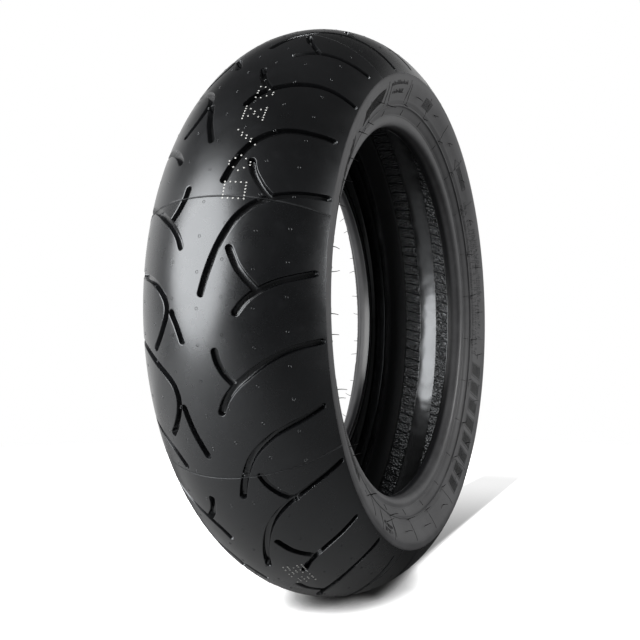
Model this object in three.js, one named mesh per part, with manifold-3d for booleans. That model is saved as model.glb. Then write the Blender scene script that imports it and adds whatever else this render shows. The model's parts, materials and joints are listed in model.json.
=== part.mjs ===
// A radial motorcycle rear tyre of the 180/60-16 class, built up from its moulded and laid-up pieces.
// Millimetres. +Y is the axle and points to the left sidewall, +X is forward, +Z is up.
// The origin is the wheel's centre.
import * as THREE from "three";
import { mergeVertices } from "three/addons/utils/BufferGeometryUtils.js";
import Module from "manifold-3d";

// Driving dimensions of the section. A section point is [y, r]: along the axle, and out from it.
const RIM_SEAT_RADIUS = 202.8; // a 16 inch bead seat
const FLANGE_HALF_WIDTH = 74; // from the centre plane to the face that meets the rim flange
const FLANGE_FACE_BOTTOM = 4.7; // the flat flange face starts and ends this far out from the bead seat
const FLANGE_FACE_TOP = 10.7;
const HEEL_CHAMFER = 3.5; // across the bead heel, along the axle
const BEAD_BASE_WIDTH = 18; // from the flange face to the toe
const BEAD_TAPER = 5; // degrees of the bead base
const TOE_HEIGHT = 7; // height of the toe's inboard face
const RIM_LINE_HEIGHT = 20.5; // the line moulded just above the rim flange
const RIM_LINE_FLARE = 7.6; // how far it stands outboard of the flange face
const SIDEWALL_HEIGHT = 31.8; // from the rim line up to the tread edge
const SIDEWALL_BULGE = 3;
const SHOULDER_DROP = 8; // the widest point lies this far below the tread edge
const SHOULDER_BULGE = 0.9;
const CROWN_RADIUS = 104.5; // across the tread
const TREAD_HALF_ANGLE = 62.4; // degrees of crown arc on each side

// Thickness of each layer, its share of the bond line included.
const CAP_THICKNESS = 9;
const CAP_EDGE_THICKNESS = 7;
const BASE_THICKNESS = 1.3;
const BELT_THICKNESS = 1.2;
const PLY_THICKNESS = 1.2;
const LINER_THICKNESS = 1.5;
const REINFORCEMENT_THICKNESS = 1.2; // the cord strip outside the turned-up ply
const CHAFER_THICKNESS = 1.3;
const SIDEWALL_GAUGE = 5.5;
const BOND_LINE = 0.3; // clearance left between neighbouring pieces

// The bead core and what stands on it.
const CORE_WIDTH = 6.4;
const CORE_HEIGHT = 6.6;
const CORE_CORNER = 2;
const CORE_ABOVE_SEAT = 5.2; // from the bead seat to the underside of the core
const CORE_FROM_FLANGE = 6.4; // from the flange face to the core
const FILLER_SHARE = 0.58; // how far the filler reaches from the core to the mid sidewall
const FILLER_TIP = 1.4;
const CHAFER_SHARE = 0.45; // how far the chafer reaches up the turned-up ply
const STRIP_START_SHARE = 0.4; // the rim strip starts this far down the inner side of the core

// Where the crown layers bend and end, in degrees of crown arc.
const CROWN_STATIONS = [10, 30, 50];
const OUTER_BELT_SHARE = 0.75; // the outer belt stops this far along its last stretch
const CUSHION_SHARE = 0.55; // how far the shoulder cushion reaches towards the widest point
const TREAD_STATIONS = 5; // outline points on each half of the tread

// The tread pattern: PITCHES repeats round the tyre, the right half half a pitch behind the left.
// A groove's points are [across, along]: arc length from the centre line, and length round the crown.
const PITCHES = 7;
const PATTERN_START = 3; // the first pitch starts this far above the foremost point
const GROOVE_WIDTH = 5.2;
const GROOVE_FLOOR = 2.8; // the tread rubber left under a groove
const GROOVE_END_SHARE = 0.4; // how wide a groove is at its very end
const GROOVE_CLEARANCE = 3; // the cutters stand this far proud of the tread
const SHARED_GROOVES = {
  low_sweep: { bends: 3, line: [[37, -17], [51, -1], [72, 10], [102, 20]] },
  high_sweep: { bends: 6, line: [[17, 180], [31, 200], [54, 218], [80, 228], [109, 233]] },
  high_arm: { bends: 2, line: [[17, 231], [22, 216], [31, 204]] },
};

// On the left half the two large sweeps run on to their tips, and their branches stand apart.
const LEFT_GROOVES = {
  ...SHARED_GROOVES,
  long_sweep: { bends: 6, line: [[6, 0], [17, 34], [32, 62], [50, 80], [80, 94], [109, 101]] },
  long_branch: { bends: 2, line: [[30, 37], [38, 20], [52, 4]] },
  middle_sweep: { bends: 5, line: [[17, 98], [29, 126], [46, 147], [72, 160], [103, 169]] },
  middle_branch: { bends: 2, line: [[38, 117], [45, 103], [60, 86]] },
};

// On the right half each large sweep turns back into its branch, and its tip is a groove of its own.
const RIGHT_GROOVES = {
  ...SHARED_GROOVES,
  long_sweep: { bends: 8, line: [[42, 15], [29, 35], [25, 52], [32, 67], [50, 80], [77, 93], [109, 101]] },
  long_tip: { bends: 2, line: [[5, 0], [14, 22], [20, 44]] },
  middle_sweep: { bends: 8, line: [[50, 94], [37, 112], [31, 128], [40, 144], [57, 155], [80, 162], [103, 169]] },
  middle_tip: { bends: 1, line: [[14, 101], [25, 125]] },
};

const FLATS_PER_PITCH = 4;
const FLATS = PITCHES * FLATS_PER_PITCH; // round every ring

const RUBBER = { tread: 0x1f2023, sidewall: 0x2a2a2b, liner: 0x17171a, soft: 0x222224 };
const finishes = {
  tread: finish(RUBBER.tread, 0.45),
  sidewall: finish(RUBBER.sidewall, 0.6),
  liner: finish(RUBBER.liner, 0.35),
  cushion: finish(RUBBER.soft, 0.7),
  cord: finish(0x8a6f4c, 0.85),
  wire: finish(0xa8814a, 0.35, 0.9),
};

function finish(color, roughness, metalness = 0) {
  return new THREE.MeshStandardMaterial({ color, roughness, metalness });
}

const radians = THREE.MathUtils.degToRad;
const mirrored = ([y, r]) => [-y, r];
const between = (a, b, share) => [a[0] + (b[0] - a[0]) * share, a[1] + (b[1] - a[1]) * share];

// A point moved sideways by a distance, to the right of a direction.
const away = (from, along, distance) => {
  const length = Math.hypot(along[0], along[1]);
  return [from[0] + (along[1] / length) * distance, from[1] - (along[0] / length) * distance];
};

// A line moved sideways by a distance, to the right of the way that it runs, with mitred corners.
function moved(line, distance) {
  return line.map((point, i) => {
    const before = line[i - 1] ?? point;
    const after = line[i + 1] ?? point;
    const sides = [
      [before, point],
      [point, after],
    ]
      .filter(([a, b]) => a !== b)
      .map(([a, b]) => away([0, 0], [b[0] - a[0], b[1] - a[1]], 1));
    const sum = sides.reduce((a, b) => [a[0] + b[0], a[1] + b[1]], [0, 0]);
    const reach = (distance * sides.length) / (sum[0] ** 2 + sum[1] ** 2);
    return [point[0] + sum[0] * reach, point[1] + sum[1] * reach];
  });
}

// A closed outline drawn in on every side.
function inset(outline, distance) {
  const n = outline.length;
  const turning = outline.reduce((sum, [y, r], i) => {
    const [y2, r2] = outline[(i + 1) % n];
    return sum + y * r2 - y2 * r;
  }, 0);
  const round = [outline[n - 1], ...outline, outline[0]];
  return moved(round, turning > 0 ? -distance : distance).slice(1, n + 1);
}

// The crown arcs share one centre.
const rimLine = [FLANGE_HALF_WIDTH + RIM_LINE_FLARE, RIM_SEAT_RADIUS + RIM_LINE_HEIGHT];
const crownCentre = rimLine[1] + SIDEWALL_HEIGHT - CROWN_RADIUS * Math.cos(radians(TREAD_HALF_ANGLE));
const outerRadius = crownCentre + CROWN_RADIUS;
const onCrown = (radius, degrees) => [
  radius * Math.sin(radians(degrees)),
  crownCentre + radius * Math.cos(radians(degrees)),
];

// The outer face, from the tread edge down to the toe.
const treadEdge = onCrown(CROWN_RADIUS, TREAD_HALF_ANGLE);
const widest = [treadEdge[0] + SHOULDER_BULGE, treadEdge[1] - SHOULDER_DROP];
const midSide = away(between(widest, rimLine, 0.5), [rimLine[0] - widest[0], rimLine[1] - widest[1]], -SIDEWALL_BULGE);
const flangeTop = [FLANGE_HALF_WIDTH, RIM_SEAT_RADIUS + FLANGE_FACE_TOP];
const flangeBottom = [FLANGE_HALF_WIDTH, RIM_SEAT_RADIUS + FLANGE_FACE_BOTTOM];
const heel = [FLANGE_HALF_WIDTH - HEEL_CHAMFER, RIM_SEAT_RADIUS];
const baseWidth = BEAD_BASE_WIDTH - HEEL_CHAMFER;
const toe = [heel[0] - baseWidth, RIM_SEAT_RADIUS - baseWidth * Math.tan(radians(BEAD_TAPER))];
const toeTop = [toe[0], toe[1] + TOE_HEIGHT];

// The crown layers, from the tread inwards, as radii of their crown arcs.
const capInside = CROWN_RADIUS - CAP_THICKNESS;
const baseInside = capInside - BASE_THICKNESS;
const outerBeltInside = baseInside - BELT_THICKNESS;
const carcassRadius = outerBeltInside - BELT_THICKNESS;

// The carcass line: the outer face of the outer ply, which both plies, the liner and the bead strips follow.
const core = {
  left: FLANGE_HALF_WIDTH - CORE_FROM_FLANGE - CORE_WIDTH,
  right: FLANGE_HALF_WIDTH - CORE_FROM_FLANGE,
  bottom: RIM_SEAT_RADIUS + CORE_ABOVE_SEAT,
  top: RIM_SEAT_RADIUS + CORE_ABOVE_SEAT + CORE_HEIGHT,
};
const [, carcassWidest, carcassSide] = moved([treadEdge, widest, midSide, rimLine], SIDEWALL_GAUGE);
const coreInner = [core.left, core.top];
const turnDirection = [carcassSide[0] - coreInner[0], carcassSide[1] - coreInner[1]];
const fillerTop = between(coreInner, carcassSide, FILLER_SHARE);
const turnUpEnd = away(fillerTop, turnDirection, FILLER_TIP);
const coreOuter = [core.right, core.top];
const chaferEnd = between(coreOuter, turnUpEnd, CHAFER_SHARE);
const halfLine = [
  ...CROWN_STATIONS.map((degrees) => onCrown(carcassRadius, degrees)),
  carcassWidest,
  carcassSide,
  coreInner,
  [core.left, core.bottom],
  [core.right, core.bottom],
  coreOuter,
  chaferEnd,
  turnUpEnd,
];
const STATION = { belt: 2, coreInner: 5, coreUnder: 6, chafer: 9, end: 10 };
const wholeLine = [...halfLine.map(mirrored).reverse(), ...halfLine];

// The carcass line at a depth, and the outline of a layer of it between two depths.
const atDepth = (depth) => moved(wholeLine, depth).slice(halfLine.length);
function layerOnLeft(near, far, first, last) {
  return [...atDepth(near).slice(first, last + 1), ...atDepth(far).slice(first, last + 1).reverse()];
}
function layerAcross(near, far, last) {
  const top = atDepth(near).slice(0, last + 1);
  const bottom = atDepth(far).slice(0, last + 1);
  return [...top.map(mirrored).reverse(), ...top, ...bottom.toReversed(), ...bottom.map(mirrored)];
}
function crownLayer(outside, inside, lastShare = 1) {
  const half = (radius) => {
    const points = CROWN_STATIONS.map((degrees) => onCrown(radius, degrees));
    points.push(between(points.at(-2), points.pop(), lastShare));
    return points;
  };
  const [top, bottom] = [half(outside), half(inside)];
  return [...top.map(mirrored).reverse(), ...top, ...bottom.toReversed(), ...bottom.map(mirrored)];
}

// Depths of the layers below the carcass line.
const stripFace = PLY_THICKNESS + REINFORCEMENT_THICKNESS;
const chaferFace = stripFace + CHAFER_THICKNESS;

const lastStation = CROWN_STATIONS.at(-1);
const capEdge = onCrown(CROWN_RADIUS - CAP_EDGE_THICKNESS, TREAD_HALF_ANGLE);
const cushionEnd = between(halfLine[STATION.belt], carcassWidest, CUSHION_SHARE);

function treadOutline() {
  const flats = 2 * TREAD_STATIONS - 1;
  const step = (2 * TREAD_HALF_ANGLE) / flats;
  const cornerRadius = CROWN_RADIUS / Math.cos(radians(step / 2));
  const face = [];
  for (let i = 1; i < flats; i += 1) {
    face.push(onCrown(cornerRadius, -TREAD_HALF_ANGLE + i * step));
  }
  const under = [capEdge, ...CROWN_STATIONS.toReversed().map((degrees) => onCrown(capInside, degrees))];
  return [mirrored(treadEdge), ...face, treadEdge, ...under, ...under.map(mirrored).reverse()];
}

function sidewallOutline() {
  const strip = atDepth(stripFace);
  return [
    treadEdge,
    widest,
    midSide,
    rimLine,
    atDepth(chaferFace)[STATION.chafer],
    strip[STATION.chafer],
    strip[STATION.end],
    turnUpEnd,
    fillerTop,
    carcassSide,
    carcassWidest,
    cushionEnd,
    capEdge,
  ];
}

function rimStripOutline() {
  const face = atDepth(chaferFace);
  const toeStart = between(face[STATION.coreInner], face[STATION.coreUnder], STRIP_START_SHARE);
  return [
    rimLine,
    flangeTop,
    flangeBottom,
    heel,
    toe,
    toeTop,
    toeStart,
    ...face.slice(STATION.coreUnder, STATION.chafer + 1),
  ];
}

function coreOutline() {
  const { left, right, bottom, top } = core;
  return [
    [left, top],
    [right, top],
    [right, bottom + CORE_CORNER],
    [right - CORE_CORNER, bottom],
    [left + CORE_CORNER, bottom],
    [left, bottom + CORE_CORNER],
  ];
}

const fillerOutline = [coreInner, coreOuter, turnUpEnd, fillerTop];
const cushionOutline = [onCrown(capInside, lastStation), halfLine[STATION.belt], cushionEnd, capEdge];

// A ring of any closed outline round the axle. Its flats touch the true circle, and it stands on one.
const flatAngle = (2 * Math.PI) / FLATS;
function ring(outline) {
  const corner = 1 / Math.cos(flatAngle / 2);
  const points = inset(outline, BOND_LINE / 2).map(([y, r]) => new THREE.Vector2(r * corner, y));
  if (THREE.ShapeUtils.area(points) < 0) points.reverse();
  points.push(points[0].clone());
  return new THREE.LatheGeometry(points, FLATS, flatAngle / 2);
}

const wasm = await Module();
wasm.setup();

function solid(geometry) {
  const bare = geometry.clone();
  bare.deleteAttribute("normal");
  bare.deleteAttribute("uv");
  const merged = mergeVertices(bare, 1e-3);
  return new wasm.Manifold(
    new wasm.Mesh({
      numProp: 3,
      vertProperties: merged.attributes.position.array,
      triVerts: new Uint32Array(merged.index.array),
    }),
  );
}

function geometryOf(made) {
  const mesh = made.getMesh();
  const geometry = new THREE.BufferGeometry();
  geometry.setAttribute("position", new THREE.BufferAttribute(mesh.vertProperties, 3));
  geometry.setIndex(new THREE.BufferAttribute(mesh.triVerts, 1));
  return geometry;
}

// The two edges of a groove, as [right, left] pairs along it, narrowed beyond each end.
function grooveEdges({ bends, line }) {
  const curve = new THREE.SplineCurve(line.map(([across, along]) => new THREE.Vector2(across, along)));
  const middle = curve.getPoints(bends).map(({ x, y }) => [x, y]);
  const half = GROOVE_WIDTH / 2;
  const beyond = (end, next) => between(end, next, -half / Math.hypot(end[0] - next[0], end[1] - next[1]));
  const whole = [beyond(middle[0], middle[1]), ...middle, beyond(middle.at(-1), middle.at(-2))];
  const right = moved(whole, half);
  const left = moved(whole, -half);
  return whole.map((point, i) => {
    const share = i === 0 || i === whole.length - 1 ? GROOVE_END_SHARE : 1;
    return [between(point, right[i], share), between(point, left[i], share)];
  });
}

// A place on the tread at a distance from the crown arc's centre, following the flats.
function onTread([across, along], side, radius) {
  const angle = across / CROWN_RADIUS;
  const turn = along / outerRadius;
  const pastFlat = turn - Math.round(turn / flatAngle) * flatAngle;
  const out = (crownCentre + radius * Math.cos(angle)) / Math.cos(pastFlat);
  return [out * Math.cos(turn), side * radius * Math.sin(angle), out * Math.sin(turn)];
}

// The distance of a groove's floor from the crown arc's centre.
function floorRadius(across) {
  const thinner = ((CAP_THICKNESS - CAP_EDGE_THICKNESS) * across) / (CROWN_RADIUS * radians(TREAD_HALF_ANGLE));
  return capInside + thinner + GROOVE_FLOOR;
}

// The cutter of one groove: a bar of four corners at each pair of edge points, closed at both ends.
function grooveCutter(edges, side, start) {
  const corners = edges.flatMap(([right, left]) => {
    const [a, b] = [right, left].map(([across, along]) => [across, along + start]);
    const proud = CROWN_RADIUS + GROOVE_CLEARANCE;
    return [
      onTread(a, side, floorRadius(a[0])),
      onTread(b, side, floorRadius(b[0])),
      onTread(b, side, proud),
      onTread(a, side, proud),
    ];
  });
  const faces = [[0, 1, 2], [0, 2, 3]];
  for (let i = 0; i < corners.length - 4; i += 4) {
    for (let k = 0; k < 4; k += 1) {
      const [a, b] = [i + k, i + ((k + 1) % 4)];
      faces.push([a, a + 4, b + 4], [a, b + 4, b]);
    }
  }
  const last = corners.length - 4;
  faces.push([last, last + 2, last + 1], [last, last + 3, last + 2]);
  const geometry = new THREE.BufferGeometry();
  geometry.setAttribute("position", new THREE.Float32BufferAttribute(corners.flat(), 3));
  geometry.setIndex(faces.flatMap((face) => (side > 0 ? face.toReversed() : face)));
  return solid(geometry);
}

function treadCap() {
  const pitch = (2 * Math.PI * outerRadius) / PITCHES;
  const cutters = [];
  for (const [grooves, side, start] of [
    [LEFT_GROOVES, 1, PATTERN_START],
    [RIGHT_GROOVES, -1, PATTERN_START + pitch / 2],
  ]) {
    for (const groove of Object.values(grooves)) {
      const edges = grooveEdges(groove);
      for (let i = 0; i < PITCHES; i += 1) cutters.push(grooveCutter(edges, side, start + i * pitch));
    }
  }
  return geometryOf(solid(ring(treadOutline())).subtract(wasm.Manifold.union(cutters)));
}

const tyre = new THREE.Group();

function add(name, geometry, material) {
  const mesh = new THREE.Mesh(geometry, material);
  mesh.name = name;
  tyre.add(mesh);
}

// A piece at each bead or shoulder: drawn on the left, and mirrored for the right.
function addPair(name, outline, material) {
  add(`left_${name}`, ring(outline), material);
  add(`right_${name}`, ring(outline.map(mirrored)), material);
}

add("tread_cap", treadCap(), finishes.tread);
add("tread_base", ring(crownLayer(capInside, baseInside)), finishes.cushion);
add("outer_belt", ring(crownLayer(baseInside, outerBeltInside, OUTER_BELT_SHARE)), finishes.cord);
add("inner_belt", ring(crownLayer(outerBeltInside, carcassRadius)), finishes.cord);
add("carcass_ply", ring(layerAcross(0, PLY_THICKNESS, STATION.end)), finishes.cord);
add("inner_liner", ring(layerAcross(PLY_THICKNESS, PLY_THICKNESS + LINER_THICKNESS, STATION.coreInner)), finishes.liner);

addPair("shoulder_cushion", cushionOutline, finishes.cushion);
addPair("sidewall", sidewallOutline(), finishes.sidewall);
addPair("rim_strip", rimStripOutline(), finishes.sidewall);
addPair("chafer", layerOnLeft(stripFace, chaferFace, STATION.coreInner, STATION.chafer), finishes.cord);
addPair("bead_reinforcement", layerOnLeft(PLY_THICKNESS, stripFace, STATION.coreInner, STATION.end), finishes.cord);
addPair("bead_filler", fillerOutline, finishes.cushion);
addPair("bead_core", coreOutline(), finishes.wire);

export default tyre;
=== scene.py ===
"""A motorcycle tire, dressed round its CAD solids.

Lengths are in metres. The axle lies along Y, and the photographed sidewall faces +Y. A section point
is (y, r): along the axle, and out from it. A tread point is (across, along, height): arc length from
the centre line towards +Y, length round the crown up from the foremost point, and out of the tread.
"""

import itertools
import json
import math

import bpy
import numpy as np
from bpy.props import FloatProperty, FloatVectorProperty, PointerProperty
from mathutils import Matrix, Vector

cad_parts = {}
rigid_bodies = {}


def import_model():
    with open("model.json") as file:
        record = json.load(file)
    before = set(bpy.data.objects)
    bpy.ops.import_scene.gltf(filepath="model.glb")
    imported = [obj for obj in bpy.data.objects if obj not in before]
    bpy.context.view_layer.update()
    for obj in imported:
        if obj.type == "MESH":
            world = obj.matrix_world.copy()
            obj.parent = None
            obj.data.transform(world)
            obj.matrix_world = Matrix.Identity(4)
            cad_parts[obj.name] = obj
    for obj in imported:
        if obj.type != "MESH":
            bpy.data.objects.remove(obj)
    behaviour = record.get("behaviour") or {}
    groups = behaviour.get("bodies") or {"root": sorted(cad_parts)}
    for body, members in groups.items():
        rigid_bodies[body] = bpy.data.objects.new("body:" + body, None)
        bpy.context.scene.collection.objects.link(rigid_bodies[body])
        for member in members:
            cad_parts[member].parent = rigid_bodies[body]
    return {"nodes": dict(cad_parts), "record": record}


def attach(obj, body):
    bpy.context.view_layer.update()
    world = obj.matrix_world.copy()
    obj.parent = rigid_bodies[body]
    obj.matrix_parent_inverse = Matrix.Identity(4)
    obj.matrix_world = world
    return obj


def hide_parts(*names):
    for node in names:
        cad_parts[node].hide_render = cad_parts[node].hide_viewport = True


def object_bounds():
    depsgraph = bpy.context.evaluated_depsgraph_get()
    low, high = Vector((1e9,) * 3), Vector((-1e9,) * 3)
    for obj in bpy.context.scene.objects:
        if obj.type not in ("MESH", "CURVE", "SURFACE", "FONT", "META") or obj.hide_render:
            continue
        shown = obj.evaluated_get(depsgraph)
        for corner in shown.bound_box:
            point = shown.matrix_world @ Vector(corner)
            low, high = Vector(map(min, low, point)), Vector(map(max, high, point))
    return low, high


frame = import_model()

bl_info = {
    "name": "Motorcycle Tire",
    "version": (1, 0, 0),
    "blender": (4, 5, 0),
    "location": "3D View > Sidebar > Tire",
    "description": "Dresses the solids of a motorcycle tire with its fine shapes and finishes",
    "category": "Object",
}

CAD_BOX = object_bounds()
BODY = "root"
MM = 0.001

# The section, as in the solids.
TIRE_RADIUS = CAD_BOX[1].z
CROWN_RADIUS = 104.5 * MM
TREAD_HALF_ANGLE = math.radians(62.4)
CROWN_CENTRE = TIRE_RADIUS - CROWN_RADIUS
TREAD_HALF = CROWN_RADIUS * TREAD_HALF_ANGLE
CAP_THICKNESS = 9 * MM
CAP_EDGE_THICKNESS = 7 * MM
TREAD_EDGE = (
    CROWN_RADIUS * math.sin(TREAD_HALF_ANGLE),
    CROWN_CENTRE + CROWN_RADIUS * math.cos(TREAD_HALF_ANGLE),
)
SEAT_RADIUS = 202.8 * MM
RIM_LINE = (81.6 * MM, SEAT_RADIUS + 20.5 * MM)
FLANGE_TOP = (74 * MM, SEAT_RADIUS + 10.7 * MM)
FLANGE_BOTTOM = (74 * MM, SEAT_RADIUS + 4.7 * MM)
HEEL = (70.5 * MM, SEAT_RADIUS)
TOE = (56 * MM, SEAT_RADIUS - 1.27 * MM)
TOE_TOP = (56 * MM, SEAT_RADIUS + 5.7 * MM)
CHAFER_FACE = (57.5 * MM, 71.3 * MM, 204.3 * MM)  # inboard, outboard, and the underside's radius

ROUND_TIRE = 2 * math.pi * TIRE_RADIUS
PITCHES = 7
PITCH = ROUND_TIRE / PITCHES
PATTERN_START = 3 * MM
AROUND = 392  # steps of every ring
SAME_POINT = 0.03 * MM  # points of two pitches that lie closer than this are one
SMOOTH_ANGLE = math.radians(35)

# Centre lines of the grooves of one pitch, in mm across and along. The right half lies half a pitch on.
SHARED_GROOVES = [
    [(36, -16), (44, -6), (55, 2.5), (70, 10), (85, 15), (103, 20.5)],
    [(17, 180), (22, 190), (31, 200.5), (42, 209), (56, 218.5), (74, 227), (90, 231), (109, 233)],
    [(17, 231.5), (18.8, 223), (23.5, 213.5), (30.5, 204.8)],
]

# On the left half the two large sweeps run on to their tips, and their branches stand apart.
LEFT_GROOVES = SHARED_GROOVES + [
    [(6, 0), (11, 17), (18, 36), (26, 53), (36, 68), (50, 80), (66, 88), (83, 94), (109, 101)],
    [(29.5, 37.5), (32.5, 31), (36, 23.5), (42.5, 14.5), (53, 3)],
    [(17, 98), (22, 112), (30, 129), (40, 142), (55, 153), (70, 159), (85, 163), (103, 168.5)],
    [(38, 117.5), (41, 108.5), (45.5, 101), (52, 92.5), (61, 84.5)],
]

# On the right half each large sweep turns back into its branch, and its tip is a groove of its own.
RIGHT_GROOVES = SHARED_GROOVES + [
    [(42, 16), (35, 24.5), (29, 35), (25.5, 46), (26, 56), (32, 66.5), (50, 79.5), (75, 92.5),
     (109, 101)],
    [(5, 0), (9.5, 11), (14, 22), (20, 43)],
    [(50, 94), (43, 102.5), (37, 112), (32, 122.5), (32, 133), (40, 144), (57, 155), (85, 162.5),
     (103, 168.5)],
    [(14, 101), (19, 113.5), (25, 124.5)],
]


def size(name, description, default, low, high):
    """A length setting, given in mm."""
    return FloatProperty(
        name=name, description=description, default=default * MM, min=low * MM, max=high * MM,
        unit="LENGTH")


def lamp_power(name, description, default):
    """A lamp's power setting, in watts."""
    return FloatProperty(
        name=name, description=description, default=default, min=0, max=500, unit="POWER")


def finish(name, description, default):
    """A colour setting."""
    return FloatVectorProperty(
        name=name, description=description, default=default, subtype="COLOR", size=3, min=0, max=1)


class TreadSizes(bpy.types.PropertyGroup):
    """Sizes of the moulded tread"""

    groove_width: size(
        "Groove width", "Across a groove, between its walls", default=5.6, low=1, high=12)
    groove_depth: size("Groove depth", "At the middle of the tread", default=6.2, low=1, high=8)
    lip: size("Lip", "Radius where a groove wall turns into the tread", default=0.8, low=0.1, high=2)
    cell: size("Cell", "Size of the mesh cells between the grooves", default=5, low=2, high=20)
    vent_ring: size(
        "Vent ring", "Radius of the small rings left by the mould's vents", default=1.2, low=0.5, high=3)


def deselect():
    bpy.ops.object.select_all(action="DESELECT")


def select(piece):
    """Selects one piece alone, and makes it the active one."""
    deselect()
    bpy.context.view_layer.objects.active = piece
    piece.select_set(True)


def edit(piece):
    """Opens one piece in edit mode, with all of it selected."""
    select(piece)
    bpy.ops.object.mode_set(mode="EDIT")
    bpy.ops.mesh.select_all(action="SELECT")


def done():
    bpy.ops.object.mode_set(mode="OBJECT")


def turn_outward(piece):
    """Turns the normals of a closed piece outward."""
    edit(piece)
    bpy.ops.mesh.normals_make_consistent(inside=False)
    done()


def points_of(piece):
    places = np.empty(len(piece.data.vertices) * 3)
    piece.data.vertices.foreach_get("co", places)
    return places.reshape(-1, 3)


def move_points(piece, places):
    piece.data.vertices.foreach_set("co", np.asarray(places, dtype=float).ravel())
    piece.data.update()


def solid(name, vertices, faces):
    """A mesh from its points and faces."""
    mesh = bpy.data.meshes.new(name)
    mesh.from_pydata(vertices, [], faces)
    piece = bpy.data.objects.new(name, mesh)
    bpy.context.scene.collection.objects.link(piece)
    return piece


def join(name, pieces):
    deselect()
    for piece in pieces:
        piece.select_set(True)
    bpy.context.view_layer.objects.active = pieces[0]
    if len(pieces) > 1:
        bpy.ops.object.join()
    whole = bpy.context.object
    whole.name = whole.data.name = name
    return whole


def apply_modifier(piece, kind, **settings):
    select(piece)
    modifier = piece.modifiers.new(kind.title(), kind)
    for setting, value in settings.items():
        setattr(modifier, setting, value)
    bpy.ops.object.modifier_apply(modifier=modifier.name)


def smooth(piece):
    select(piece)
    bpy.ops.object.shade_smooth_by_angle(angle=SMOOTH_ANGLE)


def dress(piece, slot, *nodes):
    """Gives a finished piece the material of its slot and its body, and hides the nodes that it stands for.
    """
    piece.data.materials.clear()
    piece.data.materials.append(finish_material(slot))
    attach(piece, BODY)
    if nodes:
        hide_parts(*nodes)


# Curves in a plane.
def spline(points, spacing):
    """Points along a smooth curve through the given ones, about one spacing apart."""
    given = np.array(points, dtype=float)
    before, after = 2 * given[0] - given[1], 2 * given[-1] - given[-2]
    given = np.concatenate([[before], given, [after]])
    made = []
    for a, b, c, d in zip(given, given[1:], given[2:], given[3:]):
        square = 2 * a - 5 * b + 4 * c - d
        cube = 3 * b - a - 3 * c + d
        count = max(1, round(np.linalg.norm(c - b) / spacing))
        for i in range(count):
            t = i / count
            made.append(0.5 * (2 * b + (c - a) * t + square * t**2 + cube * t**3))
    made.append(given[-2])
    return np.array(made)


def normals_of(line):
    """Unit normals along a line, on its right."""
    way = np.gradient(line, axis=0)
    way /= np.linalg.norm(way, axis=1)[:, None]
    return np.stack([way[:, 1], -way[:, 0]], axis=1)


def travelled_along(line):
    """The length of a line up to each of its points."""
    return np.concatenate([[0], np.cumsum(np.linalg.norm(np.diff(line, axis=0), axis=1))])


def rounded(corners, steps=5):
    """A closed outline from (y, r, radius) corners."""
    made = []
    n = len(corners)
    for i, (y, r, radius) in enumerate(corners):
        here = np.array([y, r])
        before = np.array(corners[i - 1][:2]) - here
        after = np.array(corners[(i + 1) % n][:2]) - here
        if radius == 0:
            made.append(here)
            continue
        lengths = np.linalg.norm(before), np.linalg.norm(after)
        reach = min(radius, 0.45 * lengths[0], 0.45 * lengths[1])
        start = here + before / lengths[0] * reach
        end = here + after / lengths[1] * reach
        for t in np.linspace(0, 1, steps):
            made.append((1 - t) ** 2 * start + 2 * t * (1 - t) * here + t**2 * end)
    return made


def lathed(name, outline):
    """A closed, smooth ring: an outline of (y, r) points, turned once round the axle."""
    deselect()
    bpy.ops.mesh.primitive_circle_add(vertices=len(outline))
    piece = bpy.context.object
    piece.name = piece.data.name = name
    move_points(piece, [(r, y, 0) for y, r in outline])
    apply_modifier(
        piece, "SCREW", axis="Y", angle=2 * math.pi, steps=AROUND, render_steps=AROUND,
        use_merge_vertices=True, merge_threshold=0.001 * MM)
    turn_outward(piece)
    smooth(piece)
    return piece


def on_arc(angle, turn, radius):
    """Points at an angle and a radius from the crown's centre line, turned round the axle."""
    out = CROWN_CENTRE + radius * np.cos(angle)
    return np.stack([out * np.cos(turn), radius * np.sin(angle), out * np.sin(turn)], axis=1)


def wrap(piece):
    """Bends a flat tread piece, whose points are (across, along, height), onto the crown."""
    across, along, height = points_of(piece).T
    angle = across / CROWN_RADIUS
    thinner = 1 - (1 - CAP_EDGE_THICKNESS / CAP_THICKNESS) * np.abs(angle) / TREAD_HALF_ANGLE
    radius = CROWN_RADIUS + np.where(height < 0, height * thinner, height)
    move_points(piece, on_arc(angle, along / TIRE_RADIUS, radius))


# The tread.
END_STEPS = 7  # of the half turn round a groove's end


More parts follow.
